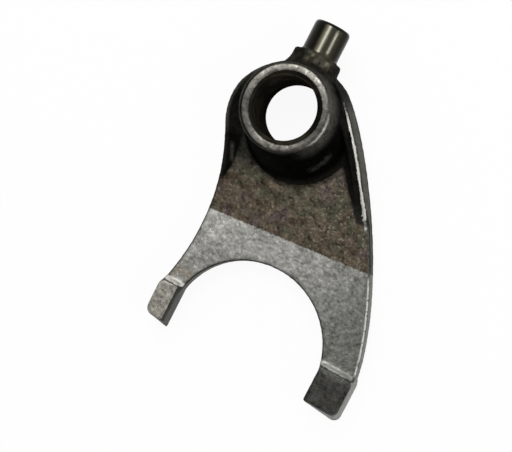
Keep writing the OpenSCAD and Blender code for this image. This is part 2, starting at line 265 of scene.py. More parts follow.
def grain_group():
    """Grain of a metal skin: a tone around one with light specks and dark pits, and a height for bump."""
    tree = bpy.data.node_groups.new("metal_grain", "ShaderNodeTree")
    face = tree.interface
    face.new_socket("Place", in_out="INPUT", socket_type="NodeSocketVector")
    for name in ("Fine", "Coarse", "Contrast", "Specks", "Pits"):
        face.new_socket(name, in_out="INPUT", socket_type="NodeSocketFloat")
    for name in ("Tone", "Height"):
        face.new_socket(name, in_out="OUTPUT", socket_type="NodeSocketFloat")
    given = put(tree, "NodeGroupInput").outputs

    def layer(place, scale, detail, rough):
        values = {"Vector": place, "Scale": scale, "Detail": detail, "Roughness": rough}
        return put(tree, "ShaderNodeTexNoise", values).outputs["Fac"]

    fine = layer(given["Place"], given["Fine"], 2.0, 0.6)
    coarse = layer(given["Place"], given["Coarse"], 3.0, 0.6)
    aside = put(tree, "ShaderNodeVectorMath", {0: given["Place"], 1: GRAIN_ASIDE}, operation="ADD")
    other = layer(aside.outputs[0], given["Fine"], 1.0, 0.5)
    body = calc(tree, "ADD", both(tree, fine, FINE_SHARE), both(tree, coarse, 1 - FINE_SHARE))
    swing = both(tree, calc(tree, "SUBTRACT", body, 0.5), given["Contrast"])
    specks = both(tree, ramp(tree, other, *SPECK_RANGE), given["Specks"])
    pits = both(tree, ramp(tree, other, *PIT_RANGE), given["Pits"])
    tone = calc(tree, "ADD", calc(tree, "SUBTRACT", calc(tree, "ADD", swing, specks), pits), 1.0)
    end = put(tree, "NodeGroupOutput")
    tree.links.new(calc(tree, "MAXIMUM", tone, TONE_FLOOR), end.inputs["Tone"])
    tree.links.new(calc(tree, "SUBTRACT", body, both(tree, pits, PIT_DEPTH)), end.inputs["Height"])
    return tree


class Zones:
    """Where each finish of the casting lies, from the place on it and from what its mesh keeps."""

    def __init__(self, tree):
        self.tree, self.group = tree, grain_group()
        metres = put(tree, "ShaderNodeTexCoord").outputs["Object"]
        self.place = scaled(tree, metres, 1.0 / MM)
        self.x, self.y, self.z = put(tree, "ShaderNodeSeparateXYZ", {0: self.place}).outputs
        kept = (attribute(tree, name) for name in ("steep", "proud", "hollow", "inset", "outer"))
        self.steep, self.proud, self.hollow, self.inset, self.outer = kept
        self.ragged = calc(tree, "SUBTRACT", noise(tree, self.place, RAGGED_SIZE, 3.0), 0.5)
        self.out = self.radius(0.0, 0.0)
        self.right = ramp(tree, self.x, PAD_MID_X - 1, PAD_MID_X + 1)
        self.front = ramp(tree, self.z, WEB_TOP - 0.3, WEB_TOP - 0.1)
        self.find_prongs()
        self.find_walls()
        self.find_boss_end()
        self.find_pin()
        self.find_pads()

    def find_prongs(self):
        """The prongs below the line where their blasted finish starts, and the head above it."""
        tree = self.tree
        slant = calc(tree, "MULTIPLY", calc(tree, "SUBTRACT", self.x, FINISH_POINT[0]), FINISH_SLOPE)
        below = calc(tree, "SUBTRACT", calc(tree, "ADD", slant, FINISH_POINT[1]), self.y)
        self.prongs = ramp(tree, self.roughened(below, 0.45), -0.15, 0.15)
        self.head = without(tree, self.prongs)

    def find_walls(self):
        """The walls, and what is dark with painted shade on the head: walls, all that is raised, and the
        painted shadow at the right rib's foot.
        """
        tree = self.tree
        self.wall = ramp(tree, self.roughened(self.steep, 0.1), 0.12, 0.25)
        self.side = both(tree, self.wall, ramp(tree, self.z, WEB_TOP - 0.05, WEB_TOP - 0.3))
        raised = ramp(tree, self.roughened(self.z, 0.15), WEB_TOP + 0.13, WEB_TOP + 0.26)
        self.along_rib = calc(tree, "SUBTRACT", self.y, calc(tree, "MULTIPLY", self.x, RIB_SLANT))
        taper = calc(tree, "MULTIPLY", calc(tree, "SUBTRACT", self.y, RIB_TAPER_Y), RIB_TAPER)
        from_edge = self.roughened(calc(tree, "SUBTRACT", self.inset, taper), 0.5)
        rib_end = ramp(tree, self.roughened(self.along_rib, 0.4), RIB_END - 0.4, RIB_END + 0.5)
        rib_shadow = both(tree, band(tree, from_edge, RIB_SHADOW_OUT, RIB_SHADOW_IN, 0.25), rib_end, self.front,
                        ramp(tree, self.y, RIB_TAPER_Y + 2.0, RIB_TAPER_Y))
        self.dark = both(tree, self.head, either(tree, self.wall, raised, rib_shadow))

    def find_boss_end(self):
        """The flat end of the boss, its rounded rim, the ring of painted highlight, and the bore with its
        mouth.
        """
        tree = self.tree
        from_middle = calc(tree, "ABSOLUTE", calc(tree, "SUBTRACT", self.z, HALF_BOSS))
        self.end = ramp(tree, from_middle, HALF_BOSS - 0.7, HALF_BOSS - 0.5)
        self.on_boss = ramp(tree, self.out, BOSS_R + 0.3, BOSS_R + 0.1)
        self.rim = both(tree, ramp(tree, from_middle, HALF_BOSS - 1.0, HALF_BOSS - 0.4), self.on_boss,
                        ramp(tree, self.out, BOSS_R - 0.9, BOSS_R - 0.7))
        self.past_ring = calc(tree, "SUBTRACT", self.radius(*RING_CENTRE), RING_R)
        past_mouth = calc(tree, "SUBTRACT", self.radius(*MOUTH_CENTRE), MOUTH_R)
        ring_in = ramp(tree, self.roughened(past_mouth, 0.2), -0.12, 0.12)
        ring_out = ramp(tree, self.roughened(self.past_ring, 0.25), 0.14, -0.14)
        self.ring = both(tree, self.end, ring_in, ring_out)
        mouth = both(tree, self.end, without(tree, ring_in))
        inside = ramp(tree, self.out, BORE_RIM, BORE_RIM - 0.15)
        self.bore = both(tree, either(tree, inside, mouth), without(tree, self.ring))

    def find_pin(self):
        """The turned pin and the cast collar at its foot."""
        tree = self.tree
        self.pin = ramp(tree, self.y, COLLAR_Y + 0.1, COLLAR_Y + 0.3)
        self.collar = both(tree, ramp(tree, self.y, *COLLAR_START), without(tree, self.pin),
                           ramp(tree, self.out, BOSS_R + 0.1, BOSS_R + 0.4))

    def find_pads(self):
        """The ground faces of the pads, and the walls around them."""
        tree = self.tree
        in_pads = ramp(tree, self.y, PAD_EDGE_Y - 0.15, PAD_EDGE_Y - 0.35)
        from_middle = calc(tree, "ABSOLUTE", calc(tree, "SUBTRACT", self.z, HALF_PAD))
        self.pad = both(tree, in_pads, ramp(tree, from_middle, HALF_PAD - 0.3, HALF_PAD - 0.15))
        self.pad_wall = both(tree, in_pads, without(tree, self.pad))

    def radius(self, x, y):
        """Distance from an upright axis."""
        tree = self.tree
        dx, dy = calc(tree, "SUBTRACT", self.x, x), calc(tree, "SUBTRACT", self.y, y)
        squares = calc(tree, "ADD", calc(tree, "MULTIPLY", dx, dx), calc(tree, "MULTIPLY", dy, dy))
        return calc(tree, "SQRT", squares)

    def towards(self, degrees):
        """Cosine of the angle between the direction from the bore's axis and one at degrees from +X."""
        tree, turn = self.tree, math.radians(degrees)
        along = calc(tree, "ADD", calc(tree, "MULTIPLY", self.x, math.cos(turn)),
                     calc(tree, "MULTIPLY", self.y, math.sin(turn)))
        return calc(tree, "DIVIDE", along, calc(tree, "MAXIMUM", self.out, 0.1))

    def roughened(self, value, share):
        """Value with a ragged edge, for masks that end where a cast finish or a painted mark does."""
        return calc(self.tree, "ADD", value, calc(self.tree, "MULTIPLY", self.ragged, share))

    def grain(self, fine, coarse, contrast, specks, pits):
        """Tone and height of a metal grain; fine and coarse are its sizes in millimetres."""
        values = {"Place": self.place, "Fine": 1.0 / fine, "Coarse": 1.0 / coarse, "Contrast": contrast,
                  "Specks": specks, "Pits": pits}
        node = put(self.tree, "ShaderNodeGroup", values, node_tree=self.group)
        return node.outputs["Tone"], node.outputs["Height"]


def cast_web(zone):
    """As-cast web: olive grey with brown and purple patches, painted shade in a corner and beside the walls.
    """
    tree = zone.tree
    tone, height = zone.grain(*WEB_GRAIN)
    patch = noise(tree, zone.place, WEB_PATCH, 3.0)
    other = noise(tree, zone.place, PURPLE_PATCH, stretch=MIRRORED)
    browner = calc(tree, "ADD", patch, ramp(tree, zone.y, -12.5, -17.5, -0.03, 0.07))
    colour = mixed(tree, ramp(tree, browner, 0.42, 0.6), WEB_OLIVE, WEB_BROWN)
    colour = mixed(tree, ramp(tree, other, 0.52, 0.66), colour, WEB_PURPLE)
    # Painted shade: the web turns greyer and darker in its upper left corner, and darker at the left, beside
    # the walls and at the left rib's tip.
    corner = both(tree, ramp(tree, zone.y, -14.6, -9.3), ramp(tree, zone.x, 1.5, -3.0))
    colour = mixed(tree, corner, colour, WEB_SHADE_GREY)
    left = both(tree, ramp(tree, zone.x, 4.0, -5.0), ramp(tree, zone.y, -19.0, -13.0))
    near_wall = ramp(tree, zone.hollow, 0.02, 0.5)
    rib_tip = ramp(tree, zone.radius(*LEFT_RIB_TIP), 1.7, 0.4)
    shades = ((corner, CORNER_SHADE), (left, LEFT_SHADE), (near_wall, WALL_SHADE), (rib_tip, TIP_SHADE))
    for mask, share in shades:
        tone = both(tree, tone, without(tree, both(tree, mask, share)))
    chips = ramp(tree, noise(tree, zone.place, CHIP_SIZE, 1.0), 0.63, 0.72)
    chips = both(tree, chips, ramp(tree, zone.x, 6.0, 15.0), CHIP_SHARE)
    return mixed(tree, chips, scaled(tree, colour, tone), WEB_CHIP), height


def blasted_prongs(zone):
    """Blasted prongs: light grey and mottled, darker by painted shade towards the right, some brown above
    the left pad.
    """
    tree = zone.tree
    tone, height = zone.grain(*PRONG_GRAIN)
    down_right = calc(tree, "SUBTRACT", zone.x, calc(tree, "MULTIPLY", zone.y, PRONG_SLANT))
    colour = mixed(tree, ramp(tree, down_right, 22.0, 42.0), PRONG_LIGHT, PRONG_DARK)
    brown = both(tree, ramp(tree, zone.y, -33.0, -38.0), without(tree, zone.right),
                 ramp(tree, noise(tree, zone.place, PRONG_PATCH), 0.35, 0.6))
    colour = mixed(tree, brown, colour, PRONG_BROWN)
    light = both(tree, ramp(tree, zone.x, 4.0, -2.0), ramp(tree, zone.y, -29.0, -26.5), PRONG_LIGHTER)
    return scaled(tree, colour, both(tree, tone, calc(tree, "ADD", light, 1.0))), height


def head_walls(zone):
    """Dark walls of the head: black painted shade in the hollows, grey painted sheen on what stands proud
    and right on the boss.
    """
    tree = zone.tree
    tone = zone.grain(*WALL_GRAIN)[0]
    left_low = both(tree, ramp(tree, zone.x, -5.0, -6.5), ramp(tree, zone.y, -6.5, -9.0))
    proud = both(tree, ramp(tree, zone.proud, -0.05, 0.36, HOLLOW_LEVEL, PROUD_LEVEL),
                 ramp(tree, zone.x, -6.0, 7.0, 1.25, 0.5),
                 without(tree, both(tree, left_low, LOW_PROUD_SHADE)))
    sheen = both(tree, ramp(tree, zone.z, 7.6, 12.5), ramp(tree, zone.towards(SHEEN_TO), 0.1, 0.95),
                 ramp(tree, zone.out, 10.4, 8.6), SHEEN_LEVEL)
    low_sheen = both(tree, ramp(tree, zone.z, 10.5, 13.2), ramp(tree, zone.out, 9.2, 8.6),
                     ramp(tree, zone.towards(LOW_SHEEN_TO), 0.84, 0.98), LOW_SHEEN_LEVEL)
    foot = both(tree, ramp(tree, zone.z, 6.6, 5.0), ramp(tree, zone.x, -3.0, 4.0), FOOT_LEVEL)
    round_blend = zone.roughened(zone.radius(*STREAK_CENTRE), 0.7)
    streak = both(tree, band(tree, round_blend, STREAK_R - STREAK_HALF, STREAK_R + STREAK_HALF, 0.3),
                  ramp(tree, zone.towards(STREAK_TO), 0.96, 0.99), ramp(tree, zone.z, 9.5, 8.0),
                  STREAK_LEVEL)
    left = both(tree, ramp(tree, zone.y, -1.5, 2.5, LEFT_LEVEL, LEFT_TOP_LEVEL),
                ramp(tree, zone.x, -4.0, -8.0), without(tree, both(tree, left_low, LOW_RIB_SHADE)))
    across = calc(tree, "ADD", zone.x, calc(tree, "MULTIPLY", zone.y, LEFT_LINE_SLANT))
    left_line = both(tree, band(tree, across, *LEFT_LINE, 0.3), band(tree, zone.y, *LEFT_LINE_SPAN, 0.6),
                     LEFT_LINE_LEVEL)
    rib = both(tree, band(tree, zone.inset, 1.0, 2.1, 0.35), ramp(tree, zone.x, 8.0, 10.0),
               ramp(tree, zone.y, 5.0, 2.0), RIB_LEVEL)
    rib_low = ramp(tree, zone.along_rib, RIB_END + 7.0, RIB_END + 1.0, 0.0, RIB_LOW_LEVEL)
    level = either(tree, proud, sheen, low_sheen, foot, streak, left, left_line, rib, rib_low)
    return scaled(tree, scaled(tree, WALL_TINT, level), tone)


def side_walls(zone):
    """Outer and jaw walls: grey between dark edges; returns mask and colour."""
    tree = zone.tree
    tone = zone.grain(*SIDE_GRAIN)[0]
    middle = both(tree, band(tree, zone.z, 1.7, 3.9, 0.5), zone.right, zone.prongs)
    tips = both(tree, zone.pad_wall, band(tree, zone.z, 0.8, 5.2, 0.4), ramp(tree, zone.outer, 0.5, 0.3),
                zone.right)
    grey = mixed(tree, either(tree, middle, tips), EDGE_DARK, EDGE_GREY)
    outside = both(tree, ramp(tree, zone.outer, 0.55, 0.8), ramp(tree, zone.inset, 1.4, 0.6), zone.head,
                   ramp(tree, zone.x, 6.5, 10.5))
    grey = mixed(tree, outside, grey, mixed(tree, ramp(tree, zone.z, 4.4, 7.0), OUTSIDE_LOW, OUTSIDE_HIGH))
    under_crest = both(tree, outside, ramp(tree, zone.proud, 0.03, 0.11))
    grey = mixed(tree, under_crest, grey, CREST_SHADE)
    pad_grey = both(tree, zone.pad_wall, ramp(tree, zone.outer, 0.4, 0.8), ramp(tree, zone.z, 5.6, 4.8))
    grey = mixed(tree, pad_grey, grey, PAD_SIDE)
    low = both(tree, zone.side, ramp(tree, zone.y, -4.0, -14.0))
    return either(tree, low, both(tree, zone.wall, zone.prongs), outside), scaled(tree, grey, tone)


def pad_faces(zone):
    """Ground pads: light and mottled on the left, dark on the right, which is painted light and shade, with
    a darker rim along the jaw.
    """
    tree = zone.tree
    left = scaled(tree, PAD_LEFT, zone.grain(*LEFT_PAD_GRAIN)[0])
    rim = both(tree, ramp(tree, zone.inset, 6.3, 6.8), JAW_SHADE)
    top = ramp(tree, zone.roughened(zone.y, 1.6), PAD_EDGE_Y - 1.5, PAD_EDGE_Y - 0.7, 0.0, PAD_TOP_LIGHTER)
    tone = zone.grain(*RIGHT_PAD_GRAIN)[0]
    right = scaled(tree, PAD_RIGHT, both(tree, tone, without(tree, rim), calc(tree, "ADD", 1.0, top)))
    return mixed(tree, zone.right, left, right)


def pad_step(zone):
    """The step up to a pad: a painted highlight on its fillet, then a painted shadow line; returns masks and
    colours.
    """
    tree = zone.tree
    along = zone.roughened(zone.y, 0.35)
    fillet = both(tree, band(tree, along, PAD_EDGE_Y - 0.02, PAD_EDGE_Y + 0.75, 0.18), zone.front,
                  without(tree, zone.side), ramp(tree, zone.x, 28.5, 33.0, 1.0, FILLET_FADE))
    line = both(tree, band(tree, along, PAD_EDGE_Y - 0.3, PAD_EDGE_Y - 0.1, 0.08), zone.front)
    return (fillet, mixed(tree, zone.right, FILLET_HIGHLIGHT_LEFT, FILLET_HIGHLIGHT_RIGHT)), (line, STEP_SHADOW)


def collar_skin(zone):
    """Cast collar: dark, with painted light on a lighter olive patch and two painted glints at the foot of
    the pin.
    """
    tree = zone.tree
    tone, height = zone.grain(*COLLAR_GRAIN)
    patch = both(tree, ramp(tree, zone.roughened(zone.y, 0.8), 9.1, 10.0),
                 band(tree, zone.x, *COLLAR_PATCH, 0.6))
    colour = mixed(tree, patch, COLLAR_DARK, COLLAR_OLIVE)
    spots = [ramp(tree, zone.radius(x, y), reach, reach * SPOT_CORE) for x, y, reach in COLLAR_SPOTS]
    spots = zone.roughened(either(tree, *spots), 0.6)
    tone = both(tree, tone, ramp(tree, spots, 0.2, 0.9, 1.0, SPOT_GAIN))
    return scaled(tree, colour, tone), height


def turned_pin(zone):
    """Turned pin: dark, lighter along its middle by painted light, with two painted highlight lines along it
    and a dark tip.
    """
    tree = zone.tree
    marks = noise(tree, zone.place, MARK_SIZE, stretch=TURNED)
    front = band(tree, zone.x, -0.4, 2.4, 0.7)
    level = calc(tree, "ADD", PIN_DARK, calc(tree, "MULTIPLY", front, PIN_FRONT))
    level = both(tree, level, calc(tree, "ADD", both(tree, marks, MARK_SWING), MARK_BASE))
    lines = [both(tree, band(tree, zone.x, mid - PIN_HIGHLIGHT_HALF, mid + PIN_HIGHLIGHT_HALF, 0.25),
                  band(tree, zone.y, foot, top, 0.3)) for mid, foot, top in PIN_HIGHLIGHTS]
    lines = both(tree, either(tree, *lines), ramp(tree, zone.z, PIN_Z, PIN_Z + 1.0),
                 ramp(tree, marks, 0.2, 0.5, 0.7, 1.0))
    colour = mixed(tree, lines, scaled(tree, PIN_TINT, level), PIN_HIGHLIGHT)
    tip = ramp(tree, zone.y, PIN_TIP_Y - 0.75, PIN_TIP_Y - 0.45)
    return mixed(tree, tip, colour, PIN_TIP)


def boss_ring(zone):
    """Ring at the end of the boss with a painted highlight: bright at the top, less so opposite, dark
    between.
    """
    tree = zone.tree
    level = calc(tree, "ADD", ramp(tree, zone.towards(RING_BRIGHT_TO), -0.1, 0.98, RING_DARK, RING_BRIGHT),
                 ramp(tree, zone.towards(RING_SECOND_TO), 0.6, 0.93, 0.0, RING_SECOND))
    from_middle = calc(tree, "SUBTRACT", zone.out, RING_MIDDLE)
    lean = both(tree, from_middle, zone.towards(RING_LEAN_TO), RING_LEAN)
    level = both(tree, level, calc(tree, "ADD", lean, 1.0))
    return scaled(tree, scaled(tree, RING_TINT, level), zone.grain(*RING_GRAIN)[0])


def boss_rim(zone):
    """Rounded edge around the ring, painted light and shade: dark grey, lighter towards +X, a painted shadow
    gap and a thin grey painted highlight at the left, a bright painted highlight line at the right; returns
    mask and colour."""
    tree = zone.tree
    grey = ramp(tree, zone.towards(RIM_GREY_TO), 0.5, 0.95, RIM_DARK, RIM_GREY)
    left = ramp(tree, zone.towards(RIM_GAP_TO), 0.3, 0.75)
    gap = both(tree, ramp(tree, zone.past_ring, 0.4, 0.25), left, GAP_SHADE)
    edge = both(tree, band(tree, zone.past_ring, 0.42, 0.66, 0.12), left, RIM_EDGE)
    grey = either(tree, both(tree, grey, without(tree, gap)), edge)
    level = zone.roughened(zone.z, 1.3)
    line = both(tree, ramp(tree, level, BOSS_LEN - 2.5, BOSS_LEN - 0.7),
                ramp(tree, level, BOSS_LEN, BOSS_LEN - 0.5),
                ramp(tree, zone.out, BOSS_R - 0.3, BOSS_R - 0.15), zone.on_boss,
                ramp(tree, zone.towards(RIM_LINE_TO), 0.87, 0.985))
    colour = mixed(tree, line, scaled(tree, RIM_TINT, grey), RIM_HIGHLIGHT)
    return either(tree, zone.rim, line), scaled(tree, colour, zone.grain(*RIM_GRAIN)[0])


def bore_wall(zone):
    """Bore wall, near black with painted shade and a brown cast in places, darkest at the upper right of its
    mouth.
    """
    tree = zone.tree
    brown = ramp(tree, noise(tree, zone.place, BORE_PATCH), 0.4, 0.65)
    colour = mixed(tree, brown, BORE_SHADE, BORE_BROWN)
    mouth = both(tree, zone.end, ramp(tree, zone.towards(MOUTH_DARK_TO), -0.4, 0.5), MOUTH_SHADE)
    tone = both(tree, ramp(tree, zone.y, 1.0, 5.5, 1.0, BORE_TOP_GAIN), without(tree, mouth))
    return scaled(tree, colour, tone)


def painted_highlights(zone):
    """Painted highlight lines on the right rib's crest and end and on the right edge; returns mask and
    colour.
    """
    tree = zone.tree
    tilt = calc(tree, "ABSOLUTE", calc(tree, "SUBTRACT", zone.roughened(zone.outer, 0.9), CREST_TILT))
    on_crest = both(tree, ramp(tree, tilt, 0.64, 0.46), ramp(tree, zone.proud, 0.05, 0.16),
                    ramp(tree, zone.z, WEB_TOP + 0.3, WEB_TOP + 0.6), band(tree, zone.y, *CREST_SPAN, 0.6),
                    ramp(tree, zone.x, 7.0, 8.6), ramp(tree, zone.out, BOSS_R + 0.4, BOSS_R + 0.8))
    rib_end = both(tree, band(tree, zone.roughened(zone.inset, 0.3), 0.3, 0.75, 0.12), zone.front,
                   band(tree, zone.y, *RIB_END_SPAN, 0.2), ramp(tree, zone.ragged, -0.1, 0.1, 0.2, 0.8))
    on_edge = both(tree, band(tree, zone.roughened(zone.inset, 0.25), -0.05, 0.28, 0.08),
                   ramp(tree, zone.z, WEB_TOP - 0.6, WEB_TOP - 0.4), band(tree, zone.y, *EDGE_SPAN, 0.6),
                   ramp(tree, zone.ragged, -0.16, 0.0, 0.35, 1.0),
                   ramp(tree, zone.y, -20.3, -21.5, 0.1, 1.0))
    colour = mixed(tree, ramp(tree, zone.y, 3.6, 5.6), HIGHLIGHT_BRIGHT, HIGHLIGHT_GREY)
    return either(tree, on_crest, on_edge, rib_end), colour


def fork_steel():
    """Finish of the casting, laid in layers: web, prongs, walls, pads, collar, pin, boss and painted
    highlight lines.
    """
    material = bpy.data.materials.new("fork_steel")
    material.use_nodes = True
    tree = material.node_tree
    tree.nodes.clear()
    zone = Zones(tree)
    base, cast_height = cast_web(zone)
    blast, blast_height = blasted_prongs(zone)
    collar, collar_height = collar_skin(zone)
    highlight_mask, highlight_colour = painted_highlights(zone)
    layers = [(zone.prongs, blast), (zone.dark, head_walls(zone)), side_walls(zone),
              (zone.pad, pad_faces(zone)), *pad_step(zone), (zone.collar, collar),
              (zone.pin, turned_pin(zone)), boss_rim(zone), (zone.ring, boss_ring(zone)),
              (zone.bore, bore_wall(zone)), (highlight_mask, highlight_colour)]
    for mask, colour in layers:
        base = mixed(tree, mask, base, colour)

    # The dark walls, near black with painted shade, are mostly not metal, the bore wholly not; the rest is
    # bare metal.
    shiny = either(tree, highlight_mask, zone.ring, zone.pin, zone.pad)
    scale = both(tree, zone.dark, without(tree, shiny), DULL_SHARE)
    metal = both(tree, without(tree, scale), without(tree, zone.bore))
    rough = calc(tree, "SUBTRACT", ROUGHNESS, calc(tree, "MULTIPLY", zone.pin, PIN_LESS))
    rough = zone.roughened(rough, calc(tree, "MULTIPLY", without(tree, zone.pin), ROUGH_SWING))

    height = mixed(tree, zone.prongs, cast_height, blast_height)
    height = mixed(tree, zone.collar, height, collar_height)
    smooth = either(tree, zone.pin, zone.bore, calc(tree, "MULTIPLY", zone.ring, RING_SMOOTH))
    height = both(tree, height, without(tree, smooth))
    relief = {"Strength": BUMP_STRENGTH, "Distance": BUMP_DEPTH, "Height": height}
    bump = put(tree, "ShaderNodeBump", relief).outputs[0]
    steel = {"Base Color": base, "Metallic": metal, "Roughness": rough, "Specular IOR Level": 0.0,
             "Normal": bump}
    shader = put(tree, "ShaderNodeBsdfPrincipled", steel)
    put(tree, "ShaderNodeOutputMaterial", {"Surface": shader.outputs[0]})
    return material


# Mesh of the casting, in millimetres until it is done.
VOXEL = 0.25
# Corners of the frame's mesh that lie closer than this, in metres, are merged.
WELD = 1e-6
# Rounds and strength of the softening, of all edges and then of the inner corners, found by their bend.
EDGE_ROUNDS, EDGE_PULL = 2, 0.5
FILLET_ROUNDS, FILLET_PULL, BEND_FROM, BEND_TO = 8, 0.6, 0.006, 0.018
WIDEN_ROUNDS, BLUR_ROUNDS = 4, 3
# Rounds of averaging for the slope, the crests, the hollows, the outward lean and the roughness.
STEEP_ROUNDS, PROUD_ROUNDS, HOLLOW_ROUNDS, OUTER_ROUNDS, ROUGH_ROUNDS = 2, 30, 14, 1, 2
# Control points of the curve that the web's right edge follows, its steps, and an inset for what is far.
RIGHT_EDGE = ((33.47, -43.31), (33.47, -24.52), (12.35, 4.58), (6.18, 8.29))
EDGE_STEPS, EDGE_BATCHES, FAR_INSET = 160, 40, 99.0
# Height and size of the lumps of the cast skin; the pads have less of them, the collar more.
SKIN_DEPTH, SKIN_GRAIN = 0.16, 0.9
PAD_ROUGH, COLLAR_ROUGH = 0.5, 0.9


def welded_copy(node):
    """Copy of a frame node's mesh with its corners merged, in millimetres."""
    mesh = node.data.copy()
    work = bmesh.new()
    work.from_mesh(mesh)
    bmesh.ops.remove_doubles(work, verts=work.verts, dist=WELD)
    bmesh.ops.scale(work, verts=work.verts, vec=(1 / MM,) * 3)
    work.to_mesh(mesh)
    work.free()
    return mesh


def baked(piece):
    """Plain mesh of a piece with its modifiers applied; the modifiers are then removed."""
    bpy.context.view_layer.update()
    graph = bpy.context.evaluated_depsgraph_get()
    mesh = bpy.data.meshes.new_from_object(piece.evaluated_get(graph))
    piece.modifiers.clear()
    return mesh


def points_of(mesh):
    points = np.empty(len(mesh.vertices) * 3)
    mesh.vertices.foreach_get("co", points)
    return points.reshape(-1, 3)


def move_points(mesh, points):
    mesh.vertices.foreach_set("co", points.ravel())
    mesh.update()


def normals_of(mesh):
    normals = np.empty(len(mesh.vertices) * 3)
    mesh.vertex_normals.foreach_get("vector", normals)
    return normals.reshape(-1, 3)


class Neighbours:
    """Averages over the neighbours of each corner of a mesh."""

    def __init__(self, mesh):
        pairs = np.empty(len(mesh.edges) * 2, int)
        mesh.edges.foreach_get("vertices", pairs)
        pairs = pairs.reshape(-1, 2)
        self.a = np.r_[pairs[:, 0], pairs[:, 1]]
        self.b = np.r_[pairs[:, 1], pairs[:, 0]]
        self.n = len(mesh.vertices)
        self.count = np.bincount(self.a, minlength=self.n)

    def mean(self, values):
        if values.ndim == 1:
            return np.bincount(self.a, values[self.b], self.n) / self.count
        return np.stack([self.mean(values[:, k]) for k in range(values.shape[1])], 1)

    def eased(self, values, rounds):
        for _ in range(rounds):
            values = self.mean(values)
        return values


def step(values, low, high):
    """Straight ramp of an array from zero at low to one at high."""
    return np.clip((values - low) / (high - low), 0, 1)


def soften(mesh, near):
    """Rounds the edges a little and fills the inner corners with cast fillets."""
    points = points_of(mesh)
    for _ in range(EDGE_ROUNDS):
        points += EDGE_PULL * (near.mean(points) - points)
    move_points(mesh, points)
    bend = np.einsum("ij,ij->i", near.mean(points) - points, normals_of(mesh))
    inner = step(bend, BEND_FROM, BEND_TO)
    on_pin = points[:, 1] > COLLAR_Y - 0.5
    in_bore = np.hypot(points[:, 0], points[:, 1]) < BORE_R + 0.5
    inner[on_pin | in_bore] = 0
    for _ in range(WIDEN_ROUNDS):
        inner = np.maximum(inner, near.mean(inner))
    inner = near.eased(inner, BLUR_ROUNDS)
    for _ in range(FILLET_ROUNDS):
        points += FILLET_PULL * inner[:, None] * (near.mean(points) - points)
    move_points(mesh, points)


def turned_faces(points):
    """Corners on the pin and on the bore, and the directions out of their axes."""
    x, y, z = points.T
    off_pin = np.stack([x, np.zeros_like(x), z - PIN_Z], 1)
    off_bore = np.stack([x, y, np.zeros_like(x)], 1)
    pin_r, bore_r = np.linalg.norm(off_pin, axis=1), np.linalg.norm(off_bore, axis=1)
    pin = (y > COLLAR_Y + 0.6) & (y < PIN_TIP_Y - 0.8) & (pin_r > PIN_R - 0.5)
    bore = (bore_r < BORE_R + 0.3) & (z > 0.6) & (z < BOSS_LEN - 0.9)
    return pin, off_pin[pin] / pin_r[pin, None], bore, off_bore[bore] / bore_r[bore, None]


def true_up(mesh):
    """Brings the turned pin and the bore back to true cylinders."""
    points = points_of(mesh)
    pin, from_pin, bore, from_bore = turned_faces(points)
    points[pin] = np.array((0, 0, PIN_Z)) + points[pin] * (0, 1, 0) + PIN_R * from_pin
    points[bore] = points[bore] * (0, 0, 1) + BORE_R * from_bore
    move_points(mesh, points)


def true_normals(mesh):
    """Gives the pin and the bore the normals of true cylinders, so that they shine evenly."""
    normals = normals_of(mesh)
    pin, from_pin, bore, from_bore = turned_faces(points_of(mesh))
    normals[pin] = from_pin
    normals[bore] = -from_bore
    mesh.normals_split_custom_set_from_vertices(normals)


def keep(mesh, name, values):
    layer = mesh.attributes.new(name, "FLOAT", "POINT")
    layer.data.foreach_set("value", values.astype(np.float32))


def right_edge(points, normals):
    """How far each point lies inside the right edge, and how much its skin faces out over that edge."""
    t = np.linspace(0, 1, EDGE_STEPS)[:, None]
    a, b, c, d = (np.array(p) for p in RIGHT_EDGE)
    edge = (1 - t) ** 3 * a + 3 * (1 - t) ** 2 * t * b + 3 * (1 - t) * t ** 2 * c + t ** 3 * d
    start, run = edge[:-1], np.diff(edge, axis=0)
    outward = np.stack([run[:, 1], -run[:, 0]], 1) / np.hypot(run[:, 0], run[:, 1])[:, None]
    inset, facing = np.full(len(points), FAR_INSET), np.zeros(len(points))
    beside = np.flatnonzero(points[:, 0] > d[0])
    for batch in np.array_split(beside, EDGE_BATCHES):
        gap = points[batch, None, :2] - start
        share = np.clip((gap * run).sum(2) / (run * run).sum(1), 0, 1)[..., None]
        gap = gap - share * run
        dist = np.hypot(gap[..., 0], gap[..., 1])
        best = dist.argmin(1)
        row = np.arange(len(batch))
        inset[batch] = -np.sign((gap[row, best] * outward[best]).sum(1)) * dist[row, best]
        facing[batch] = (normals[batch, :2] * outward[best]).sum(1)
    return inset, facing


def mark(mesh, near):
    """Keeps on the mesh what the finish goes by: slope, crests, hollows, the right edge, and roughness."""
    points, normals = points_of(mesh), normals_of(mesh)
    x, y, z = points.T
    out = np.hypot(x, y)
    keep(mesh, "steep", near.eased(1.0 - np.abs(normals[:, 2]), STEEP_ROUNDS))
    keep(mesh, "proud", np.einsum("ij,ij->i", points - near.eased(points, PROUD_ROUNDS), normals))
    keep(mesh, "hollow", near.eased((z > WEB_TOP + 0.35).astype(float), HOLLOW_ROUNDS))
    inset, facing = right_edge(points, normals)
    keep(mesh, "inset", inset)
    keep(mesh, "outer", near.eased(facing, OUTER_ROUNDS))
    ground = (out < BOSS_R + 0.1) & ((z < 0.4) | (z > BOSS_LEN - 0.5))
    turned = (y > COLLAR_Y + 0.1) | (out < BORE_R + 0.6)
    pad_back = (y < PAD_EDGE_Y) & (z < 0.3)
    rough = np.where(y < PAD_EDGE_Y, PAD_ROUGH, 1.0)
    rough[ground | turned | pad_back] = 0
    collar = step(y, 8.0, 9.0) * (out > BOSS_R + 0.2) * (rough > 0)
    keep(mesh, "rough", near.eased(rough + COLLAR_ROUGH * collar, ROUGH_ROUNDS))


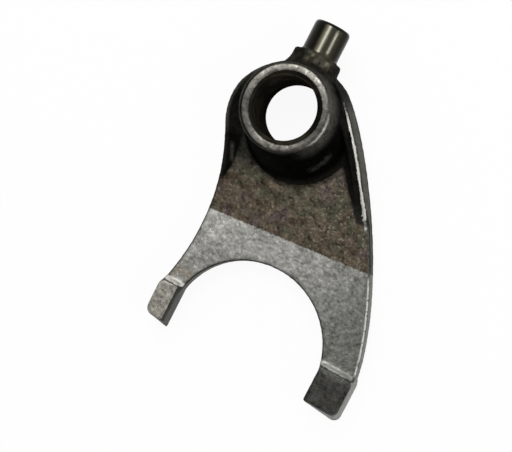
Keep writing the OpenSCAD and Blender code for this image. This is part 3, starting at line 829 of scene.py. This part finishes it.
def cast_skin(material):
    """Tree that moves a skin in and out along its normals by noise, where its attribute rough says so."""
    tree = bpy.data.node_groups.new("cast_skin", "GeometryNodeTree")
    face = tree.interface
    face.new_socket("Geometry", in_out="INPUT", socket_type="NodeSocketGeometry")
    for name in ("Depth", "Grain"):
        face.new_socket(name, in_out="INPUT", socket_type="NodeSocketFloat")
    face.new_socket("Geometry", in_out="OUTPUT", socket_type="NodeSocketGeometry")
    given = put(tree, "NodeGroupInput").outputs
    scale = calc(tree, "DIVIDE", 1.0, given["Grain"])
    lumps = put(tree, "ShaderNodeTexNoise", {"Scale": scale, "Detail": 3.0, "Roughness": 0.6}).outputs["Fac"]
    rough = put(tree, "GeometryNodeInputNamedAttribute", {"Name": "rough"}, data_type="FLOAT")
    depth = calc(tree, "MULTIPLY", given["Depth"], rough.outputs["Attribute"])
    swing = calc(tree, "MULTIPLY", calc(tree, "SUBTRACT", lumps, 0.5), depth)
    normal = put(tree, "GeometryNodeInputNormal").outputs[0]
    offset = scaled(tree, normal, swing)
    places = {"Geometry": given["Geometry"], "Offset": offset}
    moved = put(tree, "GeometryNodeSetPosition", places).outputs[0]
    real = put(tree, "GeometryNodeRealizeInstances", {"Geometry": moved}).outputs[0]
    dressed = put(tree, "GeometryNodeSetMaterial", {"Geometry": real, "Material": material}).outputs[0]
    end = put(tree, "NodeGroupOutput")
    tree.links.new(dressed, end.inputs["Geometry"])
    return tree


def set_inputs(modifier, **values):
    """Sets a tree's inputs, given by name, by the identifiers of its sockets."""
    for item in modifier.node_group.interface.items_tree:
        if item.item_type == "SOCKET" and item.in_out == "INPUT" and item.name in values:
            modifier[item.identifier] = values[item.name]


def add_casting(material):
    """The casting: the frame's solid remeshed, softened, trued up and given its cast skin."""
    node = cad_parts["shift_fork"]
    piece = bpy.data.objects.new("fork_casting", welded_copy(node))
    bpy.context.scene.collection.objects.link(piece)
    remesh = piece.modifiers.new("voxels", "REMESH")
    remesh.mode, remesh.voxel_size, remesh.use_smooth_shade = "VOXEL", VOXEL, True
    piece.data = baked(piece)
    near = Neighbours(piece.data)
    soften(piece.data, near)
    true_up(piece.data)
    mark(piece.data, near)
    skin = piece.modifiers.new("cast_skin", "NODES")
    skin.node_group = cast_skin(material)
    set_inputs(skin, Depth=SKIN_DEPTH, Grain=SKIN_GRAIN)
    piece.data = baked(piece)
    piece.data.shade_smooth()
    true_normals(piece.data)
    piece.data.transform(Matrix.Scale(MM, 4))
    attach(piece, "root")
    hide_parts("shift_fork")


# Stage: floor, sky and lamps, in metres and watts.
FLOOR_REACH, FLOOR_PAINT, FLOOR_GLOW = 6.0, (0.9, 0.9, 0.9, 1), 0.93
SKY_EDGE, SKY_TOP, SKY_FADE = (1, 1, 1, 1), (0.35, 0.35, 0.35, 1), (0.15, 0.6)
SOFTBOX_PLACE, SOFTBOX_AIM = (-0.12, 0.2, 0.45), (0.005, -0.02, 0.0)
SOFTBOX_SIZE, SOFTBOX_WATTS = (0.35, 0.35), 1.5
# The strip lamps above the middle of the pin: name, angle from the vertical towards +X, and power.
STRIPS = (("strip_left", -6.4, 0.055), ("strip_right", 49.0, 0.26))
STRIP_DISTANCE, STRIP_SIZE = 0.4, (0.04, 0.3)
PIN_MIDDLE = (0.0, 14.5 * MM, PIN_Z * MM)


def add_floor():
    """Pale floor that the camera and reflections see nearly white, with the object's shadow on it."""
    mesh = bpy.data.meshes.new("floor")
    corners = [(x * FLOOR_REACH, y * FLOOR_REACH, 0) for x, y in ((-1, -1), (1, -1), (1, 1), (-1, 1))]
    mesh.from_pydata(corners, [], [(0, 1, 2, 3)])
    floor = bpy.data.objects.new("floor", mesh)
    bpy.context.scene.collection.objects.link(floor)
    material = bpy.data.materials.new("pale_floor")
    material.use_nodes = True
    tree = material.node_tree
    tree.nodes.clear()
    rays = put(tree, "ShaderNodeLightPath").outputs
    seen = either(tree, rays["Is Camera Ray"], rays["Is Glossy Ray"], rays["Is Transmission Ray"])
    share = calc(tree, "MULTIPLY", seen, FLOOR_GLOW)
    paint = put(tree, "ShaderNodeBsdfDiffuse", {"Color": FLOOR_PAINT}).outputs[0]
    glow = put(tree, "ShaderNodeEmission", {"Color": (1, 1, 1, 1), "Strength": 1.0}).outputs[0]
    shader = put(tree, "ShaderNodeMixShader", {0: share, 1: paint, 2: glow})
    put(tree, "ShaderNodeOutputMaterial", {"Surface": shader.outputs[0]})
    mesh.materials.append(material)


def add_sky():
    """Soft sky, white at the horizon and dimmer overhead."""
    world = bpy.data.worlds.new("studio")
    world.use_nodes = True
    tree = world.node_tree
    tree.nodes.clear()
    direction = put(tree, "ShaderNodeTexCoord").outputs["Generated"]
    height = put(tree, "ShaderNodeSeparateXYZ", {0: direction}).outputs[2]
    colour = mixed(tree, ramp(tree, height, *SKY_FADE), SKY_EDGE, SKY_TOP)
    sky = put(tree, "ShaderNodeBackground", {"Color": colour, "Strength": 1.0})
    put(tree, "ShaderNodeOutputWorld", {"Surface": sky.outputs[0]})
    bpy.context.scene.world = world


def add_lamp(name, place, aim, size, watts):
    """Area lamp at place that shines at aim; size is its width and its length, which lies along Y."""
    data = bpy.data.lights.new(name, "AREA")
    data.shape, data.size, data.size_y, data.energy = "RECTANGLE", size[0], size[1], watts
    lamp = bpy.data.objects.new(name, data)
    back = (Vector(place) - Vector(aim)).normalized()
    across = Vector((0, 1, 0)).cross(back).normalized()
    turn = Matrix((across, back.cross(across), back)).transposed()
    lamp.matrix_world = Matrix.Translation(place) @ turn.to_4x4()
    bpy.context.scene.collection.objects.link(lamp)


def add_strips():
    """Two narrow lamps along the pin, for the streaks on it."""
    for name, angle, watts in STRIPS:
        turn = math.radians(angle)
        away = Vector((math.sin(turn), 0.0, math.cos(turn))) * STRIP_DISTANCE
        add_lamp(name, Vector(PIN_MIDDLE) + away, PIN_MIDDLE, STRIP_SIZE, watts)


add_camera()
add_floor()
add_sky()
add_lamp("softbox", SOFTBOX_PLACE, SOFTBOX_AIM, SOFTBOX_SIZE, SOFTBOX_WATTS)
add_strips()
bpy.context.scene.view_settings.view_transform = "Standard"
add_casting(fork_steel())

bpy.context.view_layer.update()
